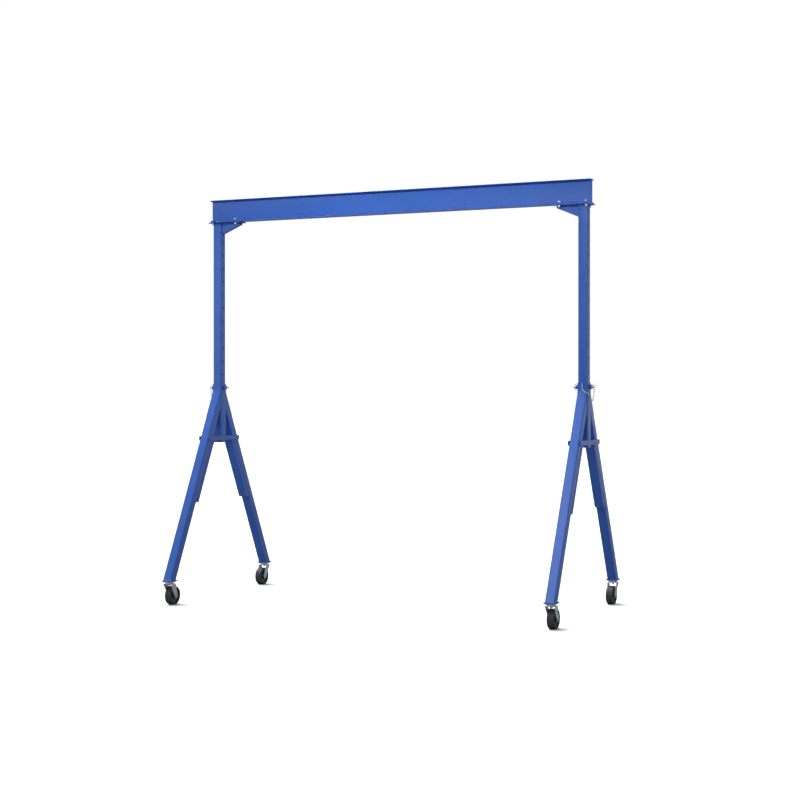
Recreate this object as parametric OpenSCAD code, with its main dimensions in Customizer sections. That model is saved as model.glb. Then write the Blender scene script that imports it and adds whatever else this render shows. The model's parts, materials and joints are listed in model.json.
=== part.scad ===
// Portable gantry crane with an adjustable beam height.
// An I-beam rests on two telescoping posts. Each post slides in the sleeve of an A-shaped end frame
// that stands on two swivel casters. X runs along the beam, -Y is the front, Z is up, floor at Z = 0.
// The right end frame is modelled in its own place, and the left one is the same frame turned by 180 degrees.

/* [Beam] */
// Length of the beam
beam_length = 4572; // [3600:1:6000]
// Depth of the beam section
beam_depth = 254; // [200:1:320]
// Width of the beam flanges
flange_width = 118.4; // [100:0.1:130]
// Thickness of the flanges at their edges
flange_toe = 7.9; // [5:0.1:12]
// Thickness of the web
web_thickness = 8; // [6:0.1:12]
// Height of the underside of the beam over the floor, at the present setting
beam_underside = 4293; // [4250:1:4330]

/* [Posts and height setting] */
// Distance between the centres of the two posts
post_spacing = 4394; // [3400:1:4500]
// Width of the square posts
post_width = 101.6; // [96:0.1:104]
// Wall of the posts
post_wall = 6.35; // [3:0.05:8]
// Distance between two height holes
hole_pitch = 152.4; // [140:0.1:160]
// Number of height holes in each post
hole_count = 13; // [12:1:13]
// Height holes above the pinned one
holes_above_pin = 11; // [10:1:11]
// Height of the locking pins over the floor
pin_height = 2387; // [2360:1:2400]
// Height of the lower ends of the posts over the floor
post_bottom = 1800; // [1780:1:1850]

/* [End frames] */
// Width of the square sleeves
sleeve_width = 114.3; // [114.3:0.1:117]
// Height of the lower ends of the sleeves
sleeve_bottom = 1755; // [1740:1:1775]
// Height of the upper ends of the sleeves
sleeve_top = 2432; // [2420:1:2445]
// Width of the square leg tubes
leg_width = 101.6; // [96:0.1:104]
// Angle between a leg and a plumb line
leg_angle = 27; // [26.5:0.1:27.2]
// Distance from the middle to the outer face of a leg, at its foot plate
leg_spread = 1121; // [1112:1:1124]
// Height at which the tops of the legs are cut level
leg_top = 2347; // [2335:1:2352]
// Height of the lower edge of the cross bars
cross_bar_bottom = 1782; // [1775:1:1790]

/* [Casters] */
// Diameter of the wheels
wheel_diameter = 203.2; // [190:0.1:206]
// Width of the wheels
wheel_width = 76.2; // [60:0.1:77]
// Height from the floor to the foot plates
caster_height = 260; // [258:1:266]
// Distance from the middle to the swivel axes
swivel_spread = 1062; // [1058:1:1066]
// Distance from a swivel axis to the wheel axle
trail = 62; // [50:1:64]

/* [Hidden] */
$fn = 64;
joint_gap = 0.5;        // clear space between faces that turn past each other
thin_gap = 0.05;        // radial clearance of a running shaft
through = 1;            // how far a cutting tool runs past the face it opens

post_x = post_spacing / 2;
flange_slope = 1 / 6;                   // of the inner faces of the flanges
root_radius = 8;                        // between flange and web

// head plates and what is bolted to them
head_length = 406.4;
head_width = 165;
head_thickness = 12;
head_overhang = 9;                      // past the end of the beam
head_middle = beam_length / 2 + head_overhang - head_length / 2;
head_bottom = beam_underside - head_thickness;
bolt_radius = 8;
bolt_spacing = 294;                     // along the beam
bolt_y = flange_width / 2 + bolt_radius + 1;
clamp_length = 44;
clamp_thickness = 10;
clamp_reach = 18;                       // onto the flange
clamp_seat = flange_toe + clamp_reach * flange_slope + 0.2;
hex_across = 24;                        // bolt heads and nuts of the beam bolts and the axles
head_height = 10;
nut_height = 13;
thread_end = 8;                         // of a bolt, past its nut
washer_thickness = 3;

// knee gussets
gusset_reach = 241;
gusset_depth = 124;
gusset_tip = 22;
gusset_width = 57;
gusset_plate = 6.4;

// tubes
post_corner = 10;
sleeve_wall = 4.76;
sleeve_corner = 11;
leg_wall = 6.35;
leg_corner = 10;
leg_bottom = caster_height + 12.7;
stiffener_depth = 50.8;
stiffener_bottom = 1097;
stiffener_top = 1795;

cross_bar_thickness = 12.7;
cross_bar_height = 50.8;
foot_width = 127;
foot_thickness = leg_bottom - caster_height;

// locking pins
pin_radius = 10;
pin_hole_radius = 10.8;
boss_radius = 24;
boss_length = 29;
boss_end = sleeve_width / 2 + boss_length;
pin_tip = sleeve_width / 2 + 65;
pin_collar_radius = 17;
pin_collar_thickness = 6;
pull_ring_x = boss_end + 12;
pull_ring_out = 21;
pull_ring_half = 30;
pull_ring_corner = 8;
pull_ring_wire = 2.5;
clip_x = sleeve_width / 2 + 43;
clip_wire = 2;
clip_hole = 2.4;
clip_below = 40;
clip_above = 24;
clip_loop = 7;

// tether chains: lug, ring end and the route between them, each as [out from the post, y, height]
chain_wire = 2;
chain_half_width = 5.5;
chain_links = 20;
lug_thickness = 4;
lug_hole = 5;
lug_y = -66;
lug_height = 2414;
ring_end = [pull_ring_x + 11, 0, pin_height - pull_ring_half + pull_ring_wire];
chain_route = [
    [0, lug_y, lug_height - lug_hole], [0, -68, 2386], [4, -79, 2360], [30, -94, 2338], [66, -78, 2316],
    [70, -36, 2288], [74, -4, 2258], [84, 10, 2232], [94, 6, 2244], [100, 2, 2285], ring_end
];

// casters, heights over the floor
wheel_radius = wheel_diameter / 2;
top_plate_width = 101.6;
top_plate_thickness = 8;
top_plate_bottom = caster_height - top_plate_thickness;
race_radius = 42;
race_height = 8;
fork_top = top_plate_bottom - race_height - joint_gap;
lower_race_height = 5.5;
crown_top = fork_top - lower_race_height;
fork_plate = 6.4;
fork_half = 48;                         // outside of the fork at the axle
shoulder_half = 55;                     // outside of the fork at its shoulders
shoulder_round = 14;
axle_radius = 8;
axle_boss_radius = 29;
hub_radius = 30;
bearing_radius = 16;
bearing_length = 2 * (fork_half - fork_plate) - 2 * joint_gap;
hub_length = 78;
kingpin_radius = 8;
kingpin_nut_across = 27;
kingpin_nut_height = 14;
caster_bolt_radius = 5;
caster_bolt_offset = 38;
caster_bolt_across = 16;
caster_bolt_head = 6.4;

paint = "#3a5fb0";
zinc = "#c9ced6";
black = "#2b2d30";
steel = "#8d9198";

frames = ["left", "right"];
ends = ["front", "rear"];

// ---- helpers ----

// Points of an arc in the plane
function arc(centre, radius, from, to, steps = 6) =
    [for (i = [0:steps])
        let (angle = from + (to - from) * i / steps)
        centre + radius * [cos(angle), sin(angle)]];

// A square with round corners
module round_square(width, depth, corner) {
    x = width / 2 - corner;
    y = depth / 2 - corner;
    polygon(concat(
        arc([x, y], corner, 0, 90), arc([-x, y], corner, 90, 180),
        arc([-x, -y], corner, 180, 270), arc([x, -y], corner, 270, 360)
    ));
}

// The cut through a rectangular tube
module tube_section(width, depth, wall, corner) {
    difference() {
        round_square(width, depth, corner);
        round_square(width - 2 * wall, depth - 2 * wall, corner - wall);
    }
}

// A cylinder along X, from x0 to x1
module rod_x(x0, x1, radius) {
    translate([x0, 0, 0]) rotate([0, 90, 0]) cylinder(h = x1 - x0, r = radius);
}

// A hexagonal prism for heads and nuts, along Z
module hexagon(across, height) {
    cylinder(h = height, d = across / cos(30), $fn = 6);
}

// Puts a part of an end frame at the right or the left end
module at_frame(side) {
    rotate([0, 0, side == "right" ? 0 : 180]) translate([post_x, 0, 0]) children();
}

// Puts a caster part, drawn with its trail toward +Y, under the front or the rear leg
module at_caster(side, end) {
    turn = end == "front" ? 0 : 180;
    out = side == "right" ? 1 : -1;
    along = end == "front" ? -1 : 1;
    translate([out * post_x, along * swivel_spread, 0]) rotate([0, 0, turn]) children();
}

// Repeats a part under both legs of an end frame drawn in its own place
module both_feet() {
    for (along = [-1, 1]) translate([0, along * swivel_spread, 0]) children();
}

// ---- beam assembly ----

// An I with tapered flanges, drawn from its lower right quarter
module beam_section() {
    half = flange_width / 2;
    web = web_thickness / 2;
    tilt = atan(flange_slope);
    root = [
        web + root_radius,
        flange_toe + (half - web - root_radius) * flange_slope + root_radius / cos(tilt)
    ];
    quarter = concat([[half, 0], [half, flange_toe]], arc(root, root_radius, 270 - tilt, 180));
    last = len(quarter) - 1;
    right = concat(quarter, [for (i = [last:-1:0]) [quarter[i][0], beam_depth - quarter[i][1]]]);
    polygon(concat(right, [for (i = [len(right) - 1:-1:0]) [-right[i][0], right[i][1]]]));
}

module beam() {
    color(paint) translate([-beam_length / 2, 0, beam_underside])
        rotate([90, 0, 90]) linear_extrude(beam_length) beam_section();
}

module post() {
    color(paint) difference() {
        translate([0, 0, post_bottom]) linear_extrude(head_bottom - post_bottom)
            tube_section(post_width, post_width, post_wall, post_corner);
        for (i = [0:hole_count - 1])
            translate([0, 0, pin_height + (holes_above_pin - i) * hole_pitch])
                rod_x(-post_width / 2 - through, post_width / 2 + through, pin_hole_radius);
    }
}

// Places what is bolted through a head plate
module at_head_bolts() {
    for (x = [-1, 1], y = [-1, 1])
        translate([head_middle + x * bolt_spacing / 2, y * bolt_y, 0]) children();
}

module head_plate() {
    color(paint) difference() {
        translate([head_middle - head_length / 2, -head_width / 2, head_bottom])
            cube([head_length, head_width, head_thickness]);
        at_head_bolts() translate([0, 0, head_bottom - through])
            cylinder(h = head_thickness + 2 * through, r = bolt_radius + joint_gap);
    }
}

// A boxed bracket under the inner end of a head plate: two side plates and a sloping cover
module knee_gusset() {
    top = head_bottom;
    outer = [[0, 0], [0, -gusset_depth], [-gusset_reach, -gusset_tip], [-gusset_reach, 0]];
    rise = (gusset_depth - gusset_tip) / gusset_reach;
    cover = gusset_plate * sqrt(1 + rise * rise);
    color(paint) translate([post_x - post_width / 2, 0, top]) rotate([90, 0, 0]) {
        for (y = [-gusset_width / 2, gusset_width / 2 - gusset_plate])
            translate([0, 0, y]) linear_extrude(gusset_plate) polygon(outer);
        translate([0, 0, -gusset_width / 2 + gusset_plate]) linear_extrude(gusset_width - 2 * gusset_plate)
            polygon([
                [0, -gusset_depth], [-gusset_reach, -gusset_tip],
                [-gusset_reach, -gusset_tip + cover], [0, -gusset_depth + cover]
            ]);
    }
}

// A clamp that stands on the head plate and grips the edge of the beam flange
module flange_clamp(toward) {
    outer = head_width / 2 - bolt_y - 1;
    flange_edge = flange_width / 2 - bolt_y;
    foot = outer - flange_edge - 0.3;
    difference() {
        translate([-clamp_length / 2, 0, beam_underside]) mirror([0, toward > 0 ? 1 : 0, 0]) {
            translate([0, -outer, 0]) cube([clamp_length, foot, clamp_seat + clamp_thickness]);
            translate([0, -outer, clamp_seat])
                cube([clamp_length, outer - flange_edge + clamp_reach, clamp_thickness]);
        }
        translate([0, 0, beam_underside - through])
            cylinder(h = clamp_seat + clamp_thickness + 2 * through, r = bolt_radius + 0.4);
    }
}

module beam_clamps() {
    color(paint) for (side = frames, x = [-1, 1], y = [-1, 1])
        rotate([0, 0, side == "right" ? 0 : 180])
            translate([head_middle + x * bolt_spacing / 2, y * bolt_y, 0]) flange_clamp(y);
}

// Places what goes on the beam bolts, at both ends of the beam
module at_beam_bolts() {
    for (side = frames) rotate([0, 0, side == "right" ? 0 : 180]) at_head_bolts() children();
}

module beam_bolts() {
    seat = beam_underside + clamp_seat + clamp_thickness;
    low = head_bottom - washer_thickness - nut_height - thread_end;
    color(zinc) at_beam_bolts() {
        translate([0, 0, seat]) hexagon(hex_across, head_height);
        translate([0, 0, low]) cylinder(h = seat + head_height - low, r = bolt_radius);
    }
}

module beam_washers() {
    color(zinc) at_beam_bolts() translate([0, 0, head_bottom - washer_thickness]) difference() {
        cylinder(h = washer_thickness, r = hex_across / 2 + 2);
        translate([0, 0, -through]) cylinder(h = washer_thickness + 2 * through, r = bolt_radius + thin_gap);
    }
}

module beam_nuts() {
    color(zinc) at_beam_bolts() translate([0, 0, head_bottom - washer_thickness - nut_height]) difference() {
        hexagon(hex_across, nut_height);
        translate([0, 0, -through]) cylinder(h = nut_height + 2 * through, r = bolt_radius + thin_gap);
    }
}

// ---- end frame, drawn with its post axis at X = 0 and its outer side toward +X ----

module sleeve() {
    color(paint) difference() {
        translate([0, 0, sleeve_bottom]) linear_extrude(sleeve_top - sleeve_bottom)
            tube_section(sleeve_width, sleeve_width, sleeve_wall, sleeve_corner);
        translate([0, 0, pin_height])
            rod_x(-sleeve_width / 2 - through, sleeve_width / 2 + through, pin_hole_radius);
    }
}

// Level distance from the middle to a leg's outer face, at a height
function leg_face(height) = leg_spread - (height - leg_bottom) * tan(leg_angle);

// A tube leaning like the +Y leg, its outer face set in from the leg's outer face, between two level cuts
module leaning_tube(inset, depth, wall, corner, low, high) {
    reach = high - low + 400;
    intersection() {
        translate([0, leg_face(low), low]) rotate([leg_angle, 0, 0])
            translate([0, -inset - depth / 2, -200])
                linear_extrude(reach / cos(leg_angle)) tube_section(leg_width, depth, wall, corner);
        translate([-leg_width, 0, low]) cube([2 * leg_width, leg_spread + leg_width, high - low]);
    }
}

module leg() {
    color(paint) difference() {
        leaning_tube(0, leg_width, leg_wall, leg_corner, leg_bottom, leg_top);
        translate([-leg_width, -leg_width, sleeve_bottom])
            cube([2 * leg_width, leg_width + sleeve_width / 2, leg_top]);
    }
}

module leg_stiffeners() {
    color(paint) for (turn = [0, 180]) rotate([0, 0, turn])
        leaning_tube(leg_width, stiffener_depth, leg_wall, leg_corner, stiffener_bottom, stiffener_top);
}

// Two flat bars across the sleeve and both legs, with packing strips where they pass the narrower legs
module cross_bars() {
    middle = cross_bar_bottom + cross_bar_height / 2;
    half = leg_face(middle) - 6;
    gap = (sleeve_width - leg_width) / 2;
    strip = 70;
    color(paint) for (side = [0, 180], end = [-1, 1]) rotate([0, 0, side]) {
        translate([sleeve_width / 2, end > 0 ? 0 : -half, cross_bar_bottom])
            cube([cross_bar_thickness, half, cross_bar_height]);
        translate([leg_width / 2, end > 0 ? half - strip - 14 : -half + 14, cross_bar_bottom])
            cube([gap, strip, cross_bar_height]);
    }
}

module foot_plates() {
    color(paint) both_feet() difference() {
        translate([-foot_width / 2, -foot_width / 2, caster_height])
            cube([foot_width, foot_width, foot_thickness]);
        at_caster_bolts() translate([0, 0, caster_height - through])
            cylinder(h = foot_thickness + 2 * through, r = caster_bolt_radius);
    }
}

module pin_bosses() {
    color(paint) translate([0, 0, pin_height]) for (turn = [0, 180]) rotate([0, 0, turn])
        difference() {
            rod_x(sleeve_width / 2, boss_end, boss_radius);
            rod_x(sleeve_width / 2 - through, boss_end + through, pin_hole_radius);
        }
}

module chain_lug() {
    front = lug_y - 9;
    color(zinc) difference() {
        translate([-lug_thickness / 2, front, lug_height - 9])
            cube([lug_thickness, -sleeve_width / 2 - front, 22]);
        translate([0, lug_y, lug_height])
            rod_x(-lug_thickness, lug_thickness, lug_hole);
    }
}

// ---- locking pins and clips ----

// The straight side of the pull ring stands in a hole near the head of the pin
module pull_ring() {
    x0 = pull_ring_x;
    x1 = pull_ring_x + pull_ring_out;
    c = pull_ring_corner;
    h = pull_ring_half;
    translate([x0, 0, -h + c]) cylinder(h = 2 * (h - c), r = pull_ring_wire);
    translate([x1, 0, -h + c]) cylinder(h = 2 * (h - c), r = pull_ring_wire);
    for (z = [-h, h]) translate([0, 0, z]) rod_x(x0 + c, x1 - c, pull_ring_wire);
    for (corner = [[x0 + c, -h + c, 180], [x1 - c, -h + c, 270], [x1 - c, h - c, 0], [x0 + c, h - c, 90]])
        translate([corner[0], 0, corner[1]]) rotate([90, 0, 0]) rotate([0, 0, corner[2]])
            rotate_extrude(angle = 90) translate([c, 0]) circle(r = pull_ring_wire);
}

module height_pin() {
    chamfer = 3;
    color(zinc) translate([0, 0, pin_height]) {
        difference() {
            union() {
                rod_x(-pin_tip + chamfer, boss_end + 24, pin_radius);
                rod_x(boss_end + joint_gap, boss_end + joint_gap + pin_collar_thickness, pin_collar_radius);
                translate([-pin_tip, 0, 0]) rotate([0, 90, 0])
                    cylinder(h = chamfer, r1 = pin_radius - chamfer, r2 = pin_radius);
            }
            translate([pull_ring_x, 0, -pin_radius - through])
                cylinder(h = 2 * (pin_radius + through), r = pull_ring_wire + 0.1);
            translate([-clip_x, 0, -pin_radius - through])
                cylinder(h = 2 * (pin_radius + through), r = clip_hole);
        }
        pull_ring();
    }
}

// A spring clip: one leg through the pin, one leg in front of it, joined by a loop on top
module pin_clip() {
    outer_leg = 2 * clip_loop;
    color(steel) translate([-clip_x, 0, pin_height]) {
        translate([0, 0, -clip_below]) cylinder(h = clip_below + clip_above, r = clip_wire);
        translate([0, outer_leg, -clip_below + 14]) cylinder(h = clip_below - 14 + clip_above, r = clip_wire);
        translate([0, clip_loop, clip_above]) rotate([90, 0, 90])
            rotate_extrude(angle = 180) translate([clip_loop, 0]) circle(r = clip_wire);
    }
}

// ---- tether chain ----

// A point on the smooth curve through the route's points, at a place counted in points
function on_route(at) =
    let (
        last = len(chain_route) - 1,
        i = min(floor(at), last - 1),
        t = at - i,
        a = chain_route[max(i - 1, 0)],
        b = chain_route[i],
        c = chain_route[i + 1],
        d = chain_route[min(i + 2, last)]
    )
    0.5 * (2 * b + (c - a) * t + (2 * a - 5 * b + 4 * c - d) * t * t + (3 * b - a - 3 * c + d) * t * t * t);

route_steps = 12;
route_points = [for (i = [0:(len(chain_route) - 1) * route_steps]) on_route(i / route_steps)];
// Length of the route up to each of its points
route_lengths = [
    for (i = 1, sum = 0; i <= len(route_points);
        sum = sum + (i < len(route_points) ? norm(route_points[i] - route_points[i - 1]) : 0), i = i + 1)
    sum
];
chain_length = route_lengths[len(route_lengths) - 1];
link_step = chain_length / chain_links;

function route_index(length, i = 0) =
    i + 2 >= len(route_lengths) || route_lengths[i + 1] >= length ? i : route_index(length, i + 1);

function route_at(length) =
    let (
        i = route_index(length),
        part = (length - route_lengths[i]) / (route_lengths[i + 1] - route_lengths[i])
    )
    route_points[i] + (route_points[i + 1] - route_points[i]) * min(part, 1);

chain_joints = [for (i = [0:chain_links]) route_at(i * link_step)];

function unit(v) = v / norm(v);

// A chain link along Z with its middle at the origin, flat in the XZ plane
module link(inner_length) {
    straight = inner_length - 2 * (chain_half_width - chain_wire);
    for (x = [-1, 1]) translate([x * chain_half_width, 0, -straight / 2])
        cylinder(h = straight, r = chain_wire);
    for (end = [0, 1]) translate([0, 0, (end * 2 - 1) * straight / 2]) rotate([90, 0, 0])
        rotate([0, 0, 180 * (1 - end)]) rotate_extrude(angle = 180)
            translate([chain_half_width, 0]) circle(r = chain_wire);
}

module tether_chain() {
    color(zinc) for (i = [0:chain_links - 1]) {
        a = chain_joints[i];
        b = chain_joints[i + 1];
        along = unit(b - a);
        side = unit([1, 0, 0] - along[0] * along);
        flat = i % 2 == 0 ? side : cross(along, side);
        other = cross(along, flat);
        middle = (a + b) / 2;
        multmatrix([
            [flat[0], other[0], along[0], middle[0]],
            [flat[1], other[1], along[1], middle[1]],
            [flat[2], other[2], along[2], middle[2]],
            [0, 0, 0, 1]
        ]) link(norm(b - a) + joint_gap);
    }
}

// ---- casters, drawn with the swivel axis at the origin and the wheel trailing toward +Y ----

module at_caster_bolts() {
    for (x = [-1, 1], y = [-1, 1]) translate([x * caster_bolt_offset, y * caster_bolt_offset, 0]) children();
}

module caster_plates() {
    color(zinc) both_feet() difference() {
        union() {
            translate([-top_plate_width / 2, -top_plate_width / 2, top_plate_bottom])
                cube([top_plate_width, top_plate_width, top_plate_thickness]);
            translate([0, 0, top_plate_bottom - race_height]) cylinder(h = race_height, r = race_radius);
        }
        translate([0, 0, top_plate_bottom - race_height - through])
            cylinder(h = race_height + top_plate_thickness + 2 * through, r = kingpin_radius + thin_gap);
        at_caster_bolts() translate([0, 0, top_plate_bottom - through])
            cylinder(h = top_plate_thickness + 2 * through, r = caster_bolt_radius + 0.4);
    }
}

module caster_bolts() {
    color(zinc) both_feet() at_caster_bolts() translate([0, 0, top_plate_bottom - caster_bolt_head]) {
        hexagon(caster_bolt_across, caster_bolt_head);
        cylinder(h = caster_bolt_head + top_plate_thickness + foot_thickness - 1, r = caster_bolt_radius);
    }
}

module kingpins() {
    nut_top = crown_top - fork_plate - joint_gap;
    color(steel) both_feet() {
        translate([0, 0, nut_top - kingpin_nut_height]) hexagon(kingpin_nut_across, kingpin_nut_height);
        translate([0, 0, nut_top - kingpin_nut_height - 2])
            cylinder(h = caster_height - nut_top + kingpin_nut_height + 2, r = kingpin_radius);
    }
}

// Where the straight edge from a point touches a circle, on one side of the line between them
function tangent_point(point, centre, radius, side) =
    let (
        toward = point - centre,
        angle = atan2(toward[1], toward[0]) + side * acos(radius / norm(toward))
    )
    centre + radius * [cos(angle), sin(angle)];

// The fork seen from the side: a crown over the swivel axis, tapering to the axle
module fork_side() {
    axle = [trail, wheel_radius];
    front = [-40, crown_top];
    rear = [44, crown_top];
    low_front = [-40, crown_top - fork_plate - 4];
    polygon([
        front, low_front, tangent_point(low_front, axle, axle_boss_radius, 1),
        tangent_point(rear, axle, axle_boss_radius, -1), rear
    ]);
    translate(axle) circle(r = axle_boss_radius);
}

// The fork seen from the front: an upside-down U with round shoulders, a little narrower at the axle
module fork_front() {
    waist = wheel_radius + 75;
    r = shoulder_round;
    inner = r - fork_plate;
    side = shoulder_half - r;
    outside = concat(
        [[fork_half, 0], [fork_half, waist]],
        arc([side, crown_top - r], r, 0, 90), arc([-side, crown_top - r], r, 90, 180),
        [[-fork_half, waist], [-fork_half, 0]]
    );
    inside = concat(
        [[-fork_half + fork_plate, 0], [-fork_half + fork_plate, waist]],
        arc([-side, crown_top - r], inner, 180, 90), arc([side, crown_top - r], inner, 90, 0),
        [[fork_half - fork_plate, waist], [fork_half - fork_plate, 0]]
    );
    polygon(concat(outside, inside));
}

module fork() {
    reach = 2 * trail + 120;
    color(zinc) difference() {
        union() {
            intersection() {
                translate([0, reach / 2, 0]) rotate([90, 0, 0]) linear_extrude(reach) fork_front();
                rotate([90, 0, 90]) translate([0, 0, -shoulder_half - through])
                    linear_extrude(2 * (shoulder_half + through)) fork_side();
            }
            translate([0, 0, crown_top - 1]) cylinder(h = lower_race_height + 1, r = race_radius);
        }
        translate([0, 0, crown_top - 2 * fork_plate])
            cylinder(h = 3 * fork_plate, r = kingpin_radius + thin_gap);
        translate([0, trail, wheel_radius])
            rod_x(-shoulder_half, shoulder_half, axle_radius + 0.2);
    }
}

// A bolt through the fork, with its head on one side and a nut on the other
module axle() {
    grip = fork_half;
    color(zinc) translate([0, trail, wheel_radius]) {
        rod_x(-grip, grip + nut_height + 3, axle_radius);
        translate([-grip - head_height, 0, 0]) rotate([0, 90, 0]) hexagon(hex_across, head_height);
        translate([grip, 0, 0]) rotate([0, 90, 0]) hexagon(hex_across, nut_height);
    }
}

// Cut through one half of the wheel: tread, recessed web and hub, as [radius, along the axle]
module wheel_section() {
    half = wheel_width / 2;
    hub = hub_length / 2;
    round_edge = 6;
    rim = wheel_radius - 20;
    web = half - 15;
    polygon(concat(
        [[bearing_radius, -hub], [hub_radius, -hub], [hub_radius + 3, -web]],
        [[rim - 5, -web], [rim, -half + 1]],
        arc([wheel_radius - round_edge, -half + round_edge], round_edge, -90, 0),
        arc([wheel_radius - round_edge, half - round_edge], round_edge, 0, 90),
        [[rim, half - 1], [rim - 5, web], [hub_radius + 3, web], [hub_radius, hub], [bearing_radius, hub]]
    ));
}

module wheel() {
    color(black) translate([0, trail, wheel_radius]) rotate([0, 90, 0]) rotate_extrude() wheel_section();
}

module bearing() {
    color(steel) translate([0, trail, wheel_radius]) difference() {
        rod_x(-bearing_length / 2, bearing_length / 2, bearing_radius);
        rod_x(-bearing_length / 2 - through, bearing_length / 2 + through, axle_radius + thin_gap);
    }
}

// ---- nodes ----

beam();
beam_clamps();
beam_bolts();
beam_washers();
beam_nuts();
for (side = frames) {
    at_frame(side) post();
    rotate([0, 0, side == "right" ? 0 : 180]) head_plate();
    rotate([0, 0, side == "right" ? 0 : 180]) knee_gusset();
    at_frame(side) sleeve();
    translate([side == "right" ? post_x : -post_x, 0, 0]) rotate([0, 0, 180]) leg();
    translate([side == "right" ? post_x : -post_x, 0, 0]) leg();
    at_frame(side) leg_stiffeners();
    at_frame(side) cross_bars();
    at_frame(side) foot_plates();
    at_frame(side) pin_bosses();
    at_frame(side) chain_lug();
    at_frame(side) caster_plates();
    at_frame(side) caster_bolts();
    at_frame(side) kingpins();
    at_frame(side) tether_chain();
    at_frame(side) height_pin();
    at_frame(side) pin_clip();
    for (end = ends) {
        at_caster(side, end) fork();
        at_caster(side, end) axle();
        at_caster(side, end) wheel();
        at_caster(side, end) bearing();
    }
}
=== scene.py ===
"""Portable gantry crane.

An I-beam on two telescoping posts, carried by A-shaped end frames on swivel casters. Everything is in
metres, in the CAD frame: X along the beam, -Y to the front, Z up, the floor at Z = 0.
"""

import json
import math

import bmesh
import bpy
from mathutils import Matrix, Vector


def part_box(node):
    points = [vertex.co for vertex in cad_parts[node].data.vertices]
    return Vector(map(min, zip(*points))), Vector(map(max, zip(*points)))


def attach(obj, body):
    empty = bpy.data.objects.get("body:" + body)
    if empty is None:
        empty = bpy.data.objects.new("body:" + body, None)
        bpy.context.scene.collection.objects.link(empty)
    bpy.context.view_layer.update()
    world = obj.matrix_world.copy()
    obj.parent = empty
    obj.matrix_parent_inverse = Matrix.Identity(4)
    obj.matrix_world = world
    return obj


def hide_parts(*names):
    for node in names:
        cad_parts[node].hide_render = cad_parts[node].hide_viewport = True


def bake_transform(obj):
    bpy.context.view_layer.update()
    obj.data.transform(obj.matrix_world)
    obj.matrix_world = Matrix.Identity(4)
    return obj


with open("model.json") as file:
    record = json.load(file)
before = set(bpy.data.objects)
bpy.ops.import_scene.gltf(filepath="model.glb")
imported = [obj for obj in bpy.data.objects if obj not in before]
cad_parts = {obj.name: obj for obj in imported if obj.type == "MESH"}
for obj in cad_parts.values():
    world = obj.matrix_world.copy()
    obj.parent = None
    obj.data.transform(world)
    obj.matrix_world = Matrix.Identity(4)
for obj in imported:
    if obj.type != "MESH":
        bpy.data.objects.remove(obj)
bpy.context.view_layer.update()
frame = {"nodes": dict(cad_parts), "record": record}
nodes = frame["nodes"]
scene = bpy.context.scene

SIDES = ("left", "right")
ENDS = ("front", "rear")

# ------------------------------------------------------------------ sizes, most of them read from the CAD

post_low, post_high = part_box("right_post")
sleeve_low, sleeve_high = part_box("right_sleeve")
leg_low, leg_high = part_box("right_rear_leg")
stiffener_low, stiffener_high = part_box("right_leg_stiffeners")
bar_low, bar_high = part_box("right_cross_bars")
gusset_low, gusset_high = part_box("right_knee_gusset")
boss_low, boss_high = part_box("right_pin_bosses")
plate_low, plate_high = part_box("right_head_plate")

POST_X = (post_low.x + post_high.x) / 2
POST_HALF = (post_high.x - post_low.x) / 2
HEAD_UNDERSIDE = post_high.z
SLEEVE_HALF = (sleeve_high.x - sleeve_low.x) / 2
LEG_HALF = (leg_high.x - leg_low.x) / 2
LEG_SPREAD = leg_high.y
LEG_BOTTOM = leg_low.z
LEG_TOP = leg_high.z
LEG_ANGLE = math.radians(27)
STIFFENER_BOTTOM = stiffener_low.z
STIFFENER_TOP = stiffener_high.z
BAR_BOTTOM = bar_low.z
BAR_TOP = bar_high.z
GUSSET_REACH = POST_X - POST_HALF - gusset_low.x
GUSSET_DEPTH = HEAD_UNDERSIDE - gusset_low.z
GUSSET_HALF = gusset_high.y
GUSSET_TIP = 0.022
GUSSET_PLATE = 0.0064
PIN_Z = (boss_low.z + boss_high.z) / 2
BOSS_RADIUS = boss_high.y
LUG_Z = 2.414

HEAD_MIDDLE = (plate_low.x + plate_high.x) / 2
BOLT_SPACING = 0.294
BOLT_Y = 0.0682
CLAMP_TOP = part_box("beam_clamps")[1].z
BOLT_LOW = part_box("beam_bolts")[0].z

SWIVEL_Y = 1.062                # from the middle to the swivel axes
TRAIL = 0.062                   # from a swivel axis to the wheel's axle
WHEEL_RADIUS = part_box("right_front_wheel")[1].z / 2
WHEEL_HALF = 0.0381
FORK_HALF = 0.048               # outside of the fork at the axle
TOP_PLATE_BOTTOM = 0.252
KINGPIN_NUT_TOP = 0.2311

BOLT_RADIUS = 0.008             # beam bolts, axles and kingpins
BOLT_ACROSS = 0.024             # beam bolts and axles, across the flats
BOLT_HEAD = 0.010
BOLT_NUT = 0.013
KINGPIN_ACROSS = 0.027
KINGPIN_NUT = 0.014
CASTER_BOLT_RADIUS = 0.005
CASTER_BOLT_ACROSS = 0.016
CASTER_BOLT_HEAD = 0.0064
CASTER_BOLT_LENGTH = 0.0217
CASTER_BOLT_OFFSET = 0.038      # from a swivel axis, along X and along Y

# ------------------------------------------------------------------ camera

CAMERA_AT = Vector((7.0773, -15.5446, 2.3093))
CAMERA_YAW = math.radians(24.189)
CAMERA_PITCH = math.radians(-0.21)


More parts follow.
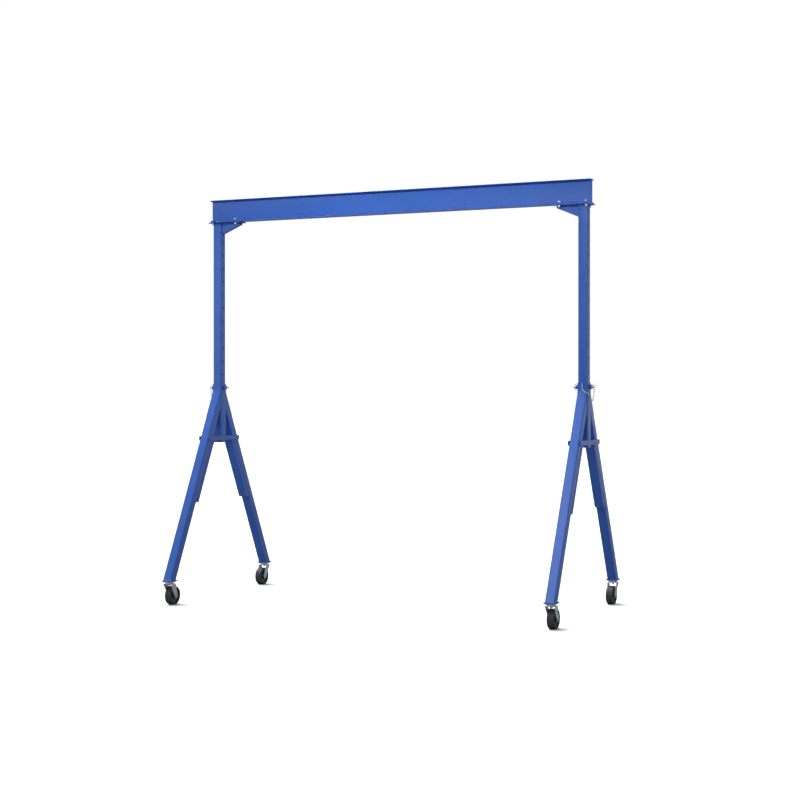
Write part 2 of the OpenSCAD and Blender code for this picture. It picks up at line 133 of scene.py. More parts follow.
def make_camera():
    data = bpy.data.cameras.new("camera")
    data.sensor_width = 36
    data.lens = 69.9
    data.clip_start = 0.1
    data.clip_end = 300
    camera = bpy.data.objects.new("camera", data)
    camera.location = CAMERA_AT
    forward = Vector((
        -math.sin(CAMERA_YAW) * math.cos(CAMERA_PITCH),
        math.cos(CAMERA_YAW) * math.cos(CAMERA_PITCH),
        math.sin(CAMERA_PITCH),
    ))
    camera.rotation_euler = forward.to_track_quat("-Z", "Y").to_euler()
    scene.collection.objects.link(camera)
    scene.camera = camera


make_camera()

# ------------------------------------------------------------------ material helpers


class Graph:
    """A short way to write a material's node tree."""

    def __init__(self, name):
        self.material = bpy.data.materials.new(name)
        self.material.use_nodes = True
        self.tree = self.material.node_tree
        self.tree.nodes.clear()
        self.out = self.tree.nodes.new("ShaderNodeOutputMaterial")
        self.place = self.tree.nodes.new("ShaderNodeTexCoord").outputs["Object"]

    def node(self, kind, **inputs):
        made = self.tree.nodes.new("ShaderNode" + kind)
        for key, value in inputs.items():
            self.put(made.inputs[key.replace("_", " ")], value)
        return made

    def put(self, socket, value):
        if isinstance(value, bpy.types.NodeSocket):
            self.tree.links.new(value, socket)
        else:
            socket.default_value = value

    def scaled(self, sx, sy, sz):
        mapping = self.node("Mapping", Vector=self.place, Scale=(sx, sy, sz))
        return mapping.outputs["Vector"]

    def noise(self, scale, detail, roughness, vector=None):
        made = self.node(
            "TexNoise", Vector=vector or self.place, Scale=scale, Detail=detail, Roughness=roughness,
        )
        return made.outputs["Fac"]

    def ramp(self, value, stops):
        made = self.node("ValToRGB", Fac=value)
        elements = made.color_ramp.elements
        while len(elements) < len(stops):
            elements.new(0.5)
        for element, (at, shade) in zip(elements, stops):
            element.position = at
            element.color = (*shade, 1)
        return made.outputs["Color"]

    def remap(self, value, low, high, to_low, to_high):
        made = self.node("MapRange")
        self.put(made.inputs[0], value)
        for slot, number in zip((1, 2, 3, 4), (low, high, to_low, to_high)):
            made.inputs[slot].default_value = number
        return made.outputs[0]

    def math(self, operation, a, b):
        made = self.node("Math")
        made.operation = operation
        self.put(made.inputs[0], a)
        self.put(made.inputs[1], b)
        return made.outputs[0]

    def mix(self, factor, a, b):
        made = self.tree.nodes.new("ShaderNodeMix")
        made.data_type = "RGBA"
        self.put(made.inputs[0], factor)
        self.put(made.inputs[6], a if not isinstance(a, tuple) else (*a, 1))
        self.put(made.inputs[7], b if not isinstance(b, tuple) else (*b, 1))
        return made.outputs[2]

    def edges(self, radius):
        """1 on the sharp edges and 0 on the flats."""
        bevel = self.node("Bevel", Radius=radius)
        bevel.samples = 4
        flat = self.tree.nodes.new("ShaderNodeNewGeometry").outputs["Normal"]
        dot = self.tree.nodes.new("ShaderNodeVectorMath")
        dot.operation = "DOT_PRODUCT"
        self.put(dot.inputs[0], bevel.outputs["Normal"])
        self.put(dot.inputs[1], flat)
        return self.remap(dot.outputs["Value"], 0.995, 0.85, 0.0, 1.0)

    def bump(self, height, strength, distance, normal=None):
        made = self.node("Bump", Height=height, Strength=strength, Distance=distance)
        if normal is not None:
            self.put(made.inputs["Normal"], normal)
        return made.outputs["Normal"]

    def surface(self, **inputs):
        shader = self.node("BsdfPrincipled", **inputs)
        self.tree.links.new(shader.outputs[0], self.out.inputs["Surface"])
        return self.material


# ------------------------------------------------------------------ materials

def blue_enamel():
    """Satin blue machine enamel: faint clouds, orange peel and slightly worn edges."""
    g = Graph("blue_enamel")
    cloud = g.noise(1.7, 3.0, 0.6)
    mottle = g.noise(22.0, 3.0, 0.55)
    shade = g.mix(g.remap(cloud, 0.3, 0.7, 0.0, 1.0), (0.010, 0.082, 0.385), (0.013, 0.096, 0.450))
    shade = g.mix(g.remap(mottle, 0.35, 0.65, 0.0, 0.35), shade, (0.015, 0.101, 0.465))
    wear = g.math("MULTIPLY", g.edges(0.0022), g.remap(g.noise(38.0, 4.0, 0.65), 0.52, 0.72, 0.0, 1.0))
    colour = g.mix(g.math("MULTIPLY", wear, 0.35), shade, (0.10, 0.15, 0.30))
    rough = g.remap(g.noise(9.0, 4.0, 0.6), 0.3, 0.7, 0.32, 0.44)
    peel = g.noise(420.0, 1.0, 0.5)
    normal = g.bump(peel, 0.10, 0.0006, g.bump(g.noise(60.0, 1.0, 0.4), 0.06, 0.002))
    return g.surface(Base_Color=colour, Roughness=rough, Normal=normal, Coat_Weight=0.15, Coat_Roughness=0.12)


def zinc_plate():
    """Dull zinc plate with faint clouds."""
    g = Graph("zinc_plate")
    cloud = g.noise(26.0, 4.0, 0.6)
    stops = [(0.3, (0.44, 0.48, 0.55)), (0.55, (0.52, 0.56, 0.63)), (0.75, (0.58, 0.62, 0.68))]
    colour = g.ramp(cloud, stops)
    rough = g.remap(g.noise(85.0, 3.0, 0.6), 0.3, 0.7, 0.34, 0.52)
    normal = g.bump(g.noise(900.0, 2.0, 0.6), 0.12, 0.0003)
    return g.surface(Base_Color=colour, Roughness=rough, Normal=normal, Metallic=0.55)


def bare_steel():
    """Plain machined steel with fine marks."""
    g = Graph("bare_steel")
    marks = g.noise(40.0, 3.0, 0.7, g.scaled(30, 30, 1))
    colour = g.mix(g.remap(marks, 0.3, 0.7, 0.0, 1.0), (0.28, 0.285, 0.295), (0.42, 0.425, 0.43))
    rough = g.remap(marks, 0.3, 0.7, 0.30, 0.46)
    return g.surface(Base_Color=colour, Roughness=rough, Normal=g.bump(marks, 0.15, 0.0002), Metallic=1.0)


def black_tread():
    """Moulded black tread with fine grain and paler scuffs."""
    g = Graph("black_tread")
    scuff = g.remap(g.noise(55.0, 5.0, 0.7), 0.45, 0.75, 0.0, 1.0)
    colour = g.mix(scuff, (0.026, 0.030, 0.040), (0.050, 0.056, 0.070))
    rough = g.remap(g.noise(130.0, 3.0, 0.6), 0.3, 0.7, 0.48, 0.68)
    normal = g.bump(g.noise(700.0, 2.0, 0.6), 0.2, 0.0004)
    return g.surface(Base_Color=colour, Roughness=rough, Normal=normal)


def wheel_core():
    """Darker moulded core, a little glossier than the tread."""
    g = Graph("wheel_core")
    cloud = g.noise(34.0, 3.0, 0.6)
    colour = g.mix(g.remap(cloud, 0.35, 0.65, 0.0, 1.0), (0.012, 0.014, 0.019), (0.021, 0.024, 0.031))
    rough = g.remap(g.noise(110.0, 3.0, 0.6), 0.3, 0.7, 0.38, 0.55)
    normal = g.bump(g.noise(500.0, 2.0, 0.6), 0.15, 0.0003)
    return g.surface(Base_Color=colour, Roughness=rough, Normal=normal)


WHEEL_CORE = wheel_core()
MATERIALS = {
    "blue_paint": blue_enamel(),
    "zinc_plate": zinc_plate(),
    "bare_steel": bare_steel(),
    "black_tread": black_tread(),
}


def dress(obj, slot):
    obj.data.materials.clear()
    obj.data.materials.append(MATERIALS[slot])


SLOT_OF = {s["node"]: s["material_slot"] for s in frame["record"]["subparts"]}
for name, obj in nodes.items():
    dress(obj, SLOT_OF[name])

# ------------------------------------------------------------------ shapes

BORE = 0.0005                           # lathed rods keep a hair-thin bore, so no face collapses on the axis
SLANTED_UP = (0.31, 0.52, 0.79)         # along no rod or weld, so a tube's rings never collapse


class Shape:
    """Collects the vertices and faces of one piece, drawn in its own frame."""

    def __init__(self):
        self.vertices = []
        self.faces = []

    def loft(self, rings, closed=False):
        """Joins rings of equal length. An open loft gets a cap at each end."""
        first = len(self.vertices)
        count = len(rings[0])
        for ring in rings:
            self.vertices.extend(Vector(p) for p in ring)
        spans = len(rings) if closed else len(rings) - 1
        for i in range(spans):
            a = first + i * count
            b = first + (i + 1) % len(rings) * count
            for k in range(count):
                n = (k + 1) % count
                self.faces.append((a + k, a + n, b + n, b + k))
        if not closed:
            self.faces.append(tuple(first + k for k in reversed(range(count))))
            last = first + (len(rings) - 1) * count
            self.faces.append(tuple(last + k for k in range(count)))

    def lathe(self, profile, at, axis, segments):
        """Turns a closed profile of (radius, along) points about an axis."""
        axis, side, other = directions(axis)
        rings = []
        for i in range(segments):
            angle = 2 * math.pi * i / segments
            out = side * math.cos(angle) + other * math.sin(angle)
            rings.append([Vector(at) + axis * along + out * radius for radius, along in profile])
        self.loft(rings, closed=True)

    def tube(self, path, radius, sides, closed, up):
        """A round rod along a path. radius is a number, or a function of the distance along the path."""
        points = [Vector(p) for p in path]
        rings = []
        run = 0.0
        for i, point in enumerate(points):
            before = points[i - 1] if i or closed else point
            after = points[(i + 1) % len(points)] if i + 1 < len(points) or closed else point
            along = (after - before).normalized()
            side = along.cross(Vector(up)).normalized()
            other = along.cross(side)
            thick = radius(run) if callable(radius) else radius
            rings.append([
                point + side * thick * math.cos(2 * math.pi * k / sides)
                + other * thick * math.sin(2 * math.pi * k / sides)
                for k in range(sides)
            ])
            run += (after - point).length
        self.loft(rings, closed)

    def made(self, name, slot, place=None, smooth_under=35):
        """The piece as an object, with the record's slot for its finish."""
        mesh = bpy.data.meshes.new(name)
        mesh.from_pydata([tuple(v) for v in self.vertices], [], self.faces)
        bm = bmesh.new()
        bm.from_mesh(mesh)
        bmesh.ops.recalc_face_normals(bm, faces=bm.faces)
        for face in bm.faces:
            face.smooth = True
        for edge in bm.edges:
            edge.smooth = edge.calc_face_angle(0) < math.radians(smooth_under)
        bm.to_mesh(mesh)
        bm.free()
        obj = bpy.data.objects.new(name, mesh)
        scene.collection.objects.link(obj)
        if place is not None:
            obj.matrix_world = place
        dress(obj, slot)
        return obj


def directions(axis):
    """An axis and two directions square to it."""
    axis = Vector(axis).normalized()
    side = axis.orthogonal().normalized()
    return axis, side, axis.cross(side)


def turned(side):
    """From a piece drawn at the right end to the same piece at that side."""
    return Matrix.Rotation(0 if side == "right" else math.pi, 4, "Z")


def frame_place(side):
    """From an end frame drawn with its post axis at X = 0 to its real place."""
    return turned(side) @ Matrix.Translation((POST_X, 0, 0))


def caster_place(side, end):
    """From a caster drawn about its swivel axis, trailing toward +Y, to its real place."""
    out = 1 if side == "right" else -1
    along = -1 if end == "front" else 1
    turn = 0 if end == "front" else math.pi
    return Matrix.Translation((out * POST_X, along * SWIVEL_Y, 0)) @ Matrix.Rotation(turn, 4, "Z")


def arc(centre, radius, start, stop, steps):
    """Points of an arc in the plane, between two angles in degrees."""
    return [
        (
            centre[0] + radius * math.cos(math.radians(start + (stop - start) * i / steps)),
            centre[1] + radius * math.sin(math.radians(start + (stop - start) * i / steps)),
        )
        for i in range(steps + 1)
    ]


def round_rectangle(x0, x1, y0, y1, corner):
    """An outline with round corners, counted anticlockwise."""
    steps = 4
    return (
        arc((x1 - corner, y1 - corner), corner, 0, 90, steps)
        + arc((x0 + corner, y1 - corner), corner, 90, 180, steps)
        + arc((x0 + corner, y0 + corner), corner, 180, 270, steps)
        + arc((x1 - corner, y0 + corner), corner, 270, 360, steps)
    )


# ------------------------------------------------------------------ softer edges on the CAD pieces

def smoothing_group():
    """Joins doubled vertices, drops stored normals and smooths edges that turn by less than 20 degrees."""
    group = bpy.data.node_groups.new("smooth_by_angle", "GeometryNodeTree")
    group.interface.new_socket("Geometry", in_out="INPUT", socket_type="NodeSocketGeometry")
    group.interface.new_socket("Geometry", in_out="OUTPUT", socket_type="NodeSocketGeometry")
    source = group.nodes.new("NodeGroupInput")
    merge = group.nodes.new("GeometryNodeMergeByDistance")
    merge.inputs["Distance"].default_value = 0.000002
    plain = group.nodes.new("GeometryNodeRemoveAttribute")
    plain.inputs["Name"].default_value = "custom_normal"
    faces = group.nodes.new("GeometryNodeSetShadeSmooth")
    faces.domain = "FACE"
    edges = group.nodes.new("GeometryNodeSetShadeSmooth")
    edges.domain = "EDGE"
    angle = group.nodes.new("GeometryNodeInputMeshEdgeAngle")
    below = group.nodes.new("ShaderNodeMath")
    below.operation = "LESS_THAN"
    below.inputs[1].default_value = math.radians(20)
    result = group.nodes.new("NodeGroupOutput")
    group.links.new(source.outputs[0], merge.inputs["Geometry"])
    group.links.new(merge.outputs[0], plain.inputs["Geometry"])
    group.links.new(plain.outputs[0], faces.inputs["Geometry"])
    group.links.new(faces.outputs[0], edges.inputs["Geometry"])
    group.links.new(angle.outputs["Unsigned Angle"], below.inputs[0])
    group.links.new(below.outputs[0], edges.inputs["Shade Smooth"])
    group.links.new(edges.outputs[0], result.inputs[0])
    return group


SMOOTHING = smoothing_group()
BROKEN_EDGE = {
    "beam": 0.0030, "head_plate": 0.0061, "foot_plates": 0.0015, "cross_bars": 0.0012, "beam_clamps": 0.0012,
    "knee_gusset": 0.0008, "fork": 0.0009, "caster_plates": 0.0010, "chain_lug": 0.0005,
}


def soften(name, obj):
    """Smooth round surfaces, and broken edges on plates and rolled shapes."""
    obj.modifiers.new("smooth", "NODES").node_group = SMOOTHING
    for ending, width in BROKEN_EDGE.items():
        if name.endswith(ending):
            bevel = obj.modifiers.new("edges", "BEVEL")
            bevel.width = width
            bevel.segments = 3
            bevel.limit_method = "ANGLE"
            bevel.angle_limit = math.radians(40)
            bevel.harden_normals = True


for name, obj in nodes.items():
    soften(name, obj)

# ------------------------------------------------------------------ weld beads

RIPPLE = 0.006
WELD = 0.0045
THIN_WELD = 0.0035
STITCH = 0.06
STITCH_PITCH = 0.165


def even_steps(points, closed):
    """Points at even steps along straight stretches."""
    corners = [Vector(p) for p in points] + ([Vector(points[0])] if closed else [])
    dense = []
    for a, b in zip(corners, corners[1:]):
        count = max(1, round((b - a).length / (RIPPLE / 4)))
        dense.extend(a.lerp(b, i / count) for i in range(count))
    return dense if closed else dense + [corners[-1]]


def bead(shape, points, radius, closed=False, up=SLANTED_UP):
    """A weld bead with the ripples that the torch leaves."""
    shape.tube(
        even_steps(points, closed), lambda run: radius * (1 + 0.13 * math.cos(2 * math.pi * run / RIPPLE)),
        sides=6, closed=closed, up=up,
    )


def stitches(shape, a, b, radius):
    """Short beads at even distances from a to b."""
    a, b = Vector(a), Vector(b)
    whole = (b - a).length
    count = int((whole - STITCH) / STITCH_PITCH) + 1
    step = (whole - STITCH) / max(count - 1, 1)
    for i in range(count):
        start = a.lerp(b, i * step / whole)
        bead(shape, [start, a.lerp(b, (i * step + STITCH) / whole)], radius)


def leg_outside(height):
    return LEG_SPREAD - (height - LEG_BOTTOM) * math.tan(LEG_ANGLE)


def leg_inside(height):
    return leg_outside(height) - 2 * LEG_HALF / math.cos(LEG_ANGLE)


def height_where_leg_meets(y):
    return LEG_BOTTOM + (LEG_SPREAD - 2 * LEG_HALF / math.cos(LEG_ANGLE) - y) / math.tan(LEG_ANGLE)


def leg_welds(shape, turn):
    """Beads of one leg of an end frame. turn is 1 for the +Y leg and -1 for the other."""
    def at(x, y, z):
        return (x, turn * y, z)

    crotch = height_where_leg_meets(SLEEVE_HALF)
    for x in (-LEG_HALF, LEG_HALF):
        bead(shape, [at(x, SLEEVE_HALF, crotch + 0.01), at(x, SLEEVE_HALF, LEG_TOP)], WELD)
        inner = 0.003 if x < 0 else -0.003
        low = STIFFENER_BOTTOM + 0.02
        high = STIFFENER_TOP - 0.02
        stitches(shape, at(x + inner, leg_inside(low), low), at(x + inner, leg_inside(high), high), WELD)
        for z in (BAR_BOTTOM, BAR_TOP):
            bead(shape, [at(x, leg_inside(z) + 0.02, z), at(x, leg_outside(z) - 0.015, z)], THIN_WELD)
    across = LEG_HALF - 0.008
    bead(shape, [at(-across, SLEEVE_HALF, crotch), at(across, SLEEVE_HALF, crotch)], 0.005)
    top = leg_outside(LEG_TOP) - 0.003
    bead(shape, [at(-across, top, LEG_TOP), at(across, top, LEG_TOP)], WELD)
    for z in (STIFFENER_BOTTOM, STIFFENER_TOP):
        bead(shape, [at(-across, leg_inside(z), z), at(across, leg_inside(z), z)], WELD)
    outer = leg_outside(LEG_BOTTOM) - 0.001
    foot = round_rectangle(-LEG_HALF, LEG_HALF, leg_inside(LEG_BOTTOM), outer, 0.010)
    bead(shape, [at(x, y, LEG_BOTTOM) for x, y in foot], WELD, closed=True, up=(0, 0, 1))


def frame_welds(side):
    shape = Shape()
    for turn in (-1, 1):
        leg_welds(shape, turn)
    for x in (-SLEEVE_HALF, SLEEVE_HALF):
        for y in (-SLEEVE_HALF, SLEEVE_HALF):
            bead(shape, [(x, y, BAR_BOTTOM), (x, y, BAR_TOP)], 0.004)
        ring = arc((0, PIN_Z), BOSS_RADIUS + 0.001, 0, 352.5, 47)
        bead(shape, [(x, y, z) for y, z in ring], 0.003, closed=True, up=(1, 0, 0))
    for x in (-0.002, 0.002):
        bead(shape, [(x, -SLEEVE_HALF, LUG_Z - 0.008), (x, -SLEEVE_HALF, LUG_Z + 0.012)], 0.002)
    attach(shape.made(side + "_frame_welds", "blue_paint", frame_place(side), 80), side + "_end_frame")


def head_welds(side):
    """Beads between post, head plate and knee gusset."""
    shape = Shape()
    half = POST_HALF + 0.001
    ring = round_rectangle(POST_X - half, POST_X + half, -half, half, 0.010)
    bead(shape, [(x, y, HEAD_UNDERSIDE) for x, y in ring], WELD, closed=True, up=(0, 0, 1))
    foot = POST_X - POST_HALF
    low = HEAD_UNDERSIDE - GUSSET_DEPTH
    for y in (-GUSSET_HALF, GUSSET_HALF):
        bead(shape, [(foot - 0.004, y, HEAD_UNDERSIDE), (foot - GUSSET_REACH, y, HEAD_UNDERSIDE)], THIN_WELD)
        bead(shape, [(foot, y, HEAD_UNDERSIDE - 0.004), (foot, y, low)], THIN_WELD)
        seam = y + (GUSSET_PLATE if y < 0 else -GUSSET_PLATE)
        tip = (foot - GUSSET_REACH, seam, HEAD_UNDERSIDE - GUSSET_TIP + 0.001)
        bead(shape, [(foot, seam, low + 0.001), tip], 0.0022)
    bead(shape, [(foot, -GUSSET_HALF, low), (foot, GUSSET_HALF, low)], THIN_WELD)
    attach(shape.made(side + "_head_welds", "blue_paint", turned(side), 80), "beam_assembly")


# ------------------------------------------------------------------ bolts, nuts and kingpins

def hexagonal(shape, at, axis, across, height, both=False):
    """A hexagonal head or nut from its seat outward, its corners turned off on the free end or on both."""
    axis, side, other = directions(axis)
    flat = across / 2
    steps = 36
    washer_face = 0.95 * flat

    def ring(level, limit):
        points = []
        for k in range(steps):
            angle = 2 * math.pi * k / steps
            to_side = (angle + math.pi / 6) % (math.pi / 3) - math.pi / 6
            corner = flat / math.cos(to_side)
            radius = min(corner, limit) if limit else corner
            drop = (corner - flat) * 0.58 if level in ("low", "high") else 0
            along = {"seat": 0, "low": drop, "high": height - drop, "end": height}[level]
            out = side * math.cos(angle) + other * math.sin(angle)
            points.append(Vector(at) + axis * along + out * radius)
        return points

    start = [ring("seat", washer_face), ring("low", None)] if both else [ring("seat", None)]
    shape.loft(start + [ring("high", None), ring("end", washer_face)])


def threaded(shape, at, axis, radius, length, pitch=0.002):
    """A threaded rod with a chamfered end, as fine rings."""
    depth = 0.3 * pitch
    turns = max(1, int((length - pitch) / pitch))
    profile = [(BORE, 0), (radius, 0)]
    for i in range(turns):
        profile += [
            (radius, (i + 0.15) * pitch), (radius - depth, (i + 0.5) * pitch), (radius, (i + 0.85) * pitch),
        ]
    profile += [(radius, length - 0.0015), (radius - 0.0015, length), (BORE, length)]
    shape.lathe(profile, at, axis, 32)


def rod(shape, at, radius, low, high, axis):
    """A plain round rod between two distances along its axis."""
    shape.lathe([(BORE, low), (radius, low), (radius, high), (BORE, high)], at, axis, 32)


def beam_bolts_and_nuts():
    bolts = Shape()
    nuts = Shape()
    for sign in (-1, 1):
        for x in (HEAD_MIDDLE - BOLT_SPACING / 2, HEAD_MIDDLE + BOLT_SPACING / 2):
            for y in (-BOLT_Y, BOLT_Y):
                x_here = sign * x
                start = CLAMP_TOP + 0.002
                washer = HEAD_UNDERSIDE - 0.003
                hexagonal(bolts, (x_here, y, CLAMP_TOP), (0, 0, 1), BOLT_ACROSS, BOLT_HEAD)
                threaded(bolts, (x_here, y, start), (0, 0, -1), BOLT_RADIUS, start - BOLT_LOW)
                hexagonal(nuts, (x_here, y, washer), (0, 0, -1), BOLT_ACROSS, BOLT_NUT, both=True)
    pieces = {"beam_bolts": bolts, "beam_nuts": nuts}
    for node, shape in pieces.items():
        obj = shape.made(node + "_turned", "zinc_plate")
        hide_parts(node)
        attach(obj, "beam_assembly")


def caster_fixings(side):
    """The bolts through both caster plates of an end frame, and its two kingpins with their nuts."""
    bolts = Shape()
    kingpins = Shape()
    for along in (-SWIVEL_Y, SWIVEL_Y):
        for x in (-CASTER_BOLT_OFFSET, CASTER_BOLT_OFFSET):
            for y in (along - CASTER_BOLT_OFFSET, along + CASTER_BOLT_OFFSET):
                start = (x, y, TOP_PLATE_BOTTOM - 0.002)
                hexagonal(bolts, (x, y, TOP_PLATE_BOTTOM), (0, 0, -1), CASTER_BOLT_ACROSS, CASTER_BOLT_HEAD)
                threaded(bolts, start, (0, 0, 1), CASTER_BOLT_RADIUS, CASTER_BOLT_LENGTH, 0.0015)
        nut_top = (0, along, KINGPIN_NUT_TOP)
        hexagonal(kingpins, nut_top, (0, 0, -1), KINGPIN_ACROSS, KINGPIN_NUT, both=True)
        threaded(kingpins, (0, along, KINGPIN_NUT_TOP - 0.010), (0, 0, -1), BOLT_RADIUS, 0.006)
        rod(kingpins, (0, along, KINGPIN_NUT_TOP - 0.012), BOLT_RADIUS, 0, 0.040, (0, 0, 1))
    pieces = {"_caster_bolts": (bolts, "zinc_plate"), "_kingpins": (kingpins, "bare_steel")}
    for ending, (shape, slot) in pieces.items():
        obj = shape.made(side + ending + "_turned", slot, frame_place(side))
        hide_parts(side + ending)
        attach(obj, side + "_end_frame")


# ------------------------------------------------------------------ casters

def axle(side, end):
    """A bolt through the fork: head on one side, nut and thread end on the other."""
    shape = Shape()
    middle = (0, TRAIL, WHEEL_RADIUS)
    low = (-FORK_HALF, TRAIL, WHEEL_RADIUS)
    high = (FORK_HALF, TRAIL, WHEEL_RADIUS)
    hexagonal(shape, low, (-1, 0, 0), BOLT_ACROSS, BOLT_HEAD)
    hexagonal(shape, high, (1, 0, 0), BOLT_ACROSS, BOLT_NUT, both=True)
    rod(shape, middle, BOLT_RADIUS, -FORK_HALF, FORK_HALF, (1, 0, 0))
    threaded(shape, (FORK_HALF + 0.006, TRAIL, WHEEL_RADIUS), (1, 0, 0), BOLT_RADIUS, 0.010)
    name = side + "_" + end
    obj = shape.made(name + "_axle_turned", "zinc_plate", caster_place(side, end))
    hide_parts(name + "_axle")
    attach(obj, name + "_caster_fork")


def wheel(side, end):
    """A moulded tyre on a recessed core. The bearing in the core is the CAD's own piece."""
    name = side + "_" + end
    place = caster_place(side, end)
    body = name + "_caster_wheel"
    middle = (0, TRAIL, WHEEL_RADIUS)
    half = WHEEL_HALF
    rim = WHEEL_RADIUS - 0.020
    shoulder = 0.006

    tyre = Shape()
    edge = WHEEL_RADIUS - shoulder
    tyre.lathe(
        [(rim, -half + 0.001), (rim + 0.002, -half + 0.0002)]
        + [(edge - 0.004, -half), (edge - 0.003, -half + 0.0006)]
        + arc((edge, -half + shoulder), shoulder, -90, 0, 8)
        + [(WHEEL_RADIUS, -0.0008), (WHEEL_RADIUS - 0.0003, 0), (WHEEL_RADIUS, 0.0008)]
        + arc((edge, half - shoulder), shoulder, 0, 90, 8)
        + [(edge - 0.003, half - 0.0006), (edge - 0.004, half)]
        + [(rim + 0.002, half - 0.0002), (rim, half - 0.001)],
        middle, (1, 0, 0), 96,
    )
    made = tyre.made(name + "_tyre", "black_tread", place)
    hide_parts(name + "_wheel")
    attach(made, body)

    core = Shape()
    web = half - 0.015
    hub = 0.039
    core.lathe(
        [(0.0162, -hub), (0.0285, -hub), (0.030, -hub + 0.0015), (0.0315, -web - 0.003), (0.0345, -web)]
        + [(rim - 0.009, -web), (rim - 0.005, -web - 0.002)]
        + [(rim - 0.003, -half + 0.003), (rim, -half + 0.0015), (rim + 0.001, 0), (rim, half - 0.0015)]
        + [(rim - 0.003, half - 0.003), (rim - 0.005, web + 0.002)]
        + [(rim - 0.009, web), (0.0345, web), (0.0315, web + 0.003), (0.030, hub - 0.0015), (0.0285, hub)]
        + [(0.0162, hub)],
        middle, (1, 0, 0), 72,
    )
    made = core.made(name + "_wheel_core", "black_tread", place)
    made.data.materials[0] = WHEEL_CORE
    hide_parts(name + "_wheel")
    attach(made, body)


# ------------------------------------------------------------------ tether chains

# The route from the lug to the pull ring: X from the post's axis, Y and height, in millimetres
CHAIN_ROUTE = [
    (0, -66, 2409), (0, -68, 2386), (4, -79, 2360), (30, -94, 2338), (66, -78, 2316),
    (70, -36, 2288), (74, -4, 2258), (84, 10, 2232), (94, 6, 2244), (100, 2, 2285), (109.15, 0, 2359.5),
]
CHAIN_LINKS = 20
LINK_WIRE = 0.002
LINK_HALF_WIDTH = 0.0055


def smooth_route(points):
    """A curve through all points."""
    steps = 12
    points = [Vector(p) / 1000 for p in points]
    dense = []
    for i in range(len(points) - 1):
        a, b, c, d = (points[min(max(i + k, 0), len(points) - 1)] for k in (-1, 0, 1, 2))
        for k in range(steps):
            t = k / steps
            dense.append(0.5 * (
                2 * b + (c - a) * t + (2 * a - 5 * b + 4 * c - d) * t * t + (3 * b - a - 3 * c + d) * t ** 3
            ))
    return dense + [points[-1]]


def even_points(path, count):
    """count + 1 points at even distances along a path."""
    lengths = [0.0]
    for a, b in zip(path, path[1:]):
        lengths.append(lengths[-1] + (b - a).length)
    result = []
    i = 0
    for k in range(count + 1):
        goal = lengths[-1] * k / count
        while i + 2 < len(lengths) and lengths[i + 1] < goal:
            i += 1
        result.append(path[i].lerp(path[i + 1], (goal - lengths[i]) / (lengths[i + 1] - lengths[i])))
    return result


def link_outline(inner_length):
    """The wire's centre line of one link, flat in the plane."""
    straight = inner_length / 2 - (LINK_HALF_WIDTH - LINK_WIRE)
    return arc((0, straight), LINK_HALF_WIDTH, 0, 180, 8) + arc((0, -straight), LINK_HALF_WIDTH, 180, 360, 8)


def tether_chain(side):
    shape = Shape()
    joints = even_points(smooth_route(CHAIN_ROUTE), CHAIN_LINKS)
    for i, (a, b) in enumerate(zip(joints, joints[1:])):
        along = (b - a).normalized()
        across = Vector((1, 0, 0)) - along[0] * along
        across.normalize()
        flat = across if i % 2 == 0 else along.cross(across)
        middle = (a + b) / 2
        outline = link_outline((b - a).length + 0.0005)
        shape.tube([middle + flat * u + along * v for u, v in outline], LINK_WIRE, 8, True, along.cross(flat))
    place = frame_place(side)
    obj = shape.made(side + "_chain", "zinc_plate", place)
    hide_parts(side + "_tether_chain")
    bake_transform(obj)


beam_bolts_and_nuts()
for side in SIDES:
    frame_welds(side)
    head_welds(side)
    caster_fixings(side)
    tether_chain(side)
    for end in ENDS:
        axle(side, end)
        wheel(side, end)

# ------------------------------------------------------------------ studio


def make_floor():
    """A pale matt floor. It is darker for all but the camera, so it doesn't wash out the undersides."""
    mesh = bpy.data.meshes.new("floor")
    bm = bmesh.new()
    bmesh.ops.create_circle(bm, cap_ends=True, segments=96, radius=150)
    bm.to_mesh(mesh)
    bm.free()
    floor = bpy.data.objects.new("floor", mesh)
    scene.collection.objects.link(floor)
    g = Graph("floor")
    seen = g.tree.nodes.new("ShaderNodeLightPath").outputs["Is Camera Ray"]
    pale = g.mix(seen, (0.20, 0.205, 0.215), (0.90, 0.90, 0.90))
    floor.data.materials.append(g.surface(Base_Color=pale, Roughness=1.0, Specular_IOR_Level=0.0))


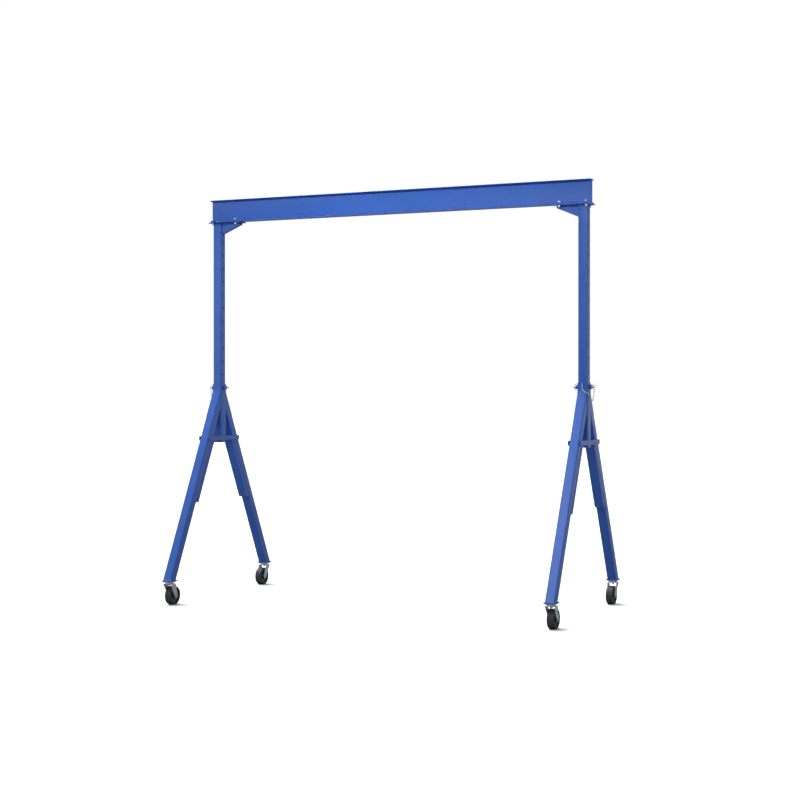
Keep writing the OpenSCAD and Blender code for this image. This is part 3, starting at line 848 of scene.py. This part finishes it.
def make_world():
    """Plain white behind the object, and a soft grey sky that lights it, darker toward the right."""
    world = bpy.data.worlds.new("studio")
    scene.world = world
    world.use_nodes = True
    tree = world.node_tree
    tree.nodes.clear()
    out = tree.nodes.new("ShaderNodeOutputWorld")
    seen = tree.nodes.new("ShaderNodeBackground")
    seen.inputs["Color"].default_value = (1.03, 1.03, 1.03, 1)
    lit = tree.nodes.new("ShaderNodeBackground")
    spot = tree.nodes.new("ShaderNodeTexCoord")
    split = tree.nodes.new("ShaderNodeSeparateXYZ")
    tree.links.new(spot.outputs["Generated"], split.inputs[0])
    side = tree.nodes.new("ShaderNodeMapRange")
    tree.links.new(split.outputs["X"], side.inputs[0])
    for slot, number in zip((1, 2, 3, 4), (-0.6, 0.8, 0.55, 0.46)):
        side.inputs[slot].default_value = number
    shade = tree.nodes.new("ShaderNodeCombineColor")
    for channel in range(3):
        tree.links.new(side.outputs[0], shade.inputs[channel])
    tree.links.new(shade.outputs[0], lit.inputs["Color"])
    path = tree.nodes.new("ShaderNodeLightPath")
    mix = tree.nodes.new("ShaderNodeMixShader")
    tree.links.new(path.outputs["Is Camera Ray"], mix.inputs[0])
    tree.links.new(lit.outputs[0], mix.inputs[1])
    tree.links.new(seen.outputs[0], mix.inputs[2])
    tree.links.new(mix.outputs[0], out.inputs["Surface"])


def sunlight(name, toward, strength, spread):
    """A broad far lamp, from the direction it stands in."""
    data = bpy.data.lights.new(name, "SUN")
    data.energy = strength
    data.angle = math.radians(spread)
    lamp = bpy.data.objects.new(name, data)
    lamp.rotation_euler = (-Vector(toward)).to_track_quat("-Z", "Y").to_euler()
    scene.collection.objects.link(lamp)


def softbox(name, at, target, width, height, power, spread):
    data = bpy.data.lights.new(name, "AREA")
    data.shape = "RECTANGLE"
    data.size = width
    data.size_y = height
    data.energy = power
    data.spread = math.radians(spread)
    lamp = bpy.data.objects.new(name, data)
    lamp.location = at
    lamp.rotation_euler = (Vector(target) - Vector(at)).to_track_quat("-Z", "Y").to_euler()
    scene.collection.objects.link(lamp)


make_floor()
make_world()
sunlight("overhead", (-0.36, 0.10, 0.93), 4.0, 40)
softbox("beam", (2.2, -12, 8.2), (-0.1, 0, 4.4), 3, 1.5, 52, 34)
softbox("panel", (-9.0, -10.5, 3.8), (-1, 0, 2.6), 6, 3.0, 94, 180)
softbox("low", (0.0, -5.5, 5.5), (2.2, -0.9, 0.9), 3, 3, 5, 44)
softbox("back", (5, 12, 2.5), (0, 0, 2), 10, 4, 32, 180)
softbox("strip", (12.3, -2.5, 6.6), (2.2, -0.5, 1.5), 1.4, 3.2, 92, 180)

scene.view_settings.view_transform = "Standard"
scene.view_settings.look = "None"
scene.view_settings.exposure = 0
scene.view_settings.gamma = 1
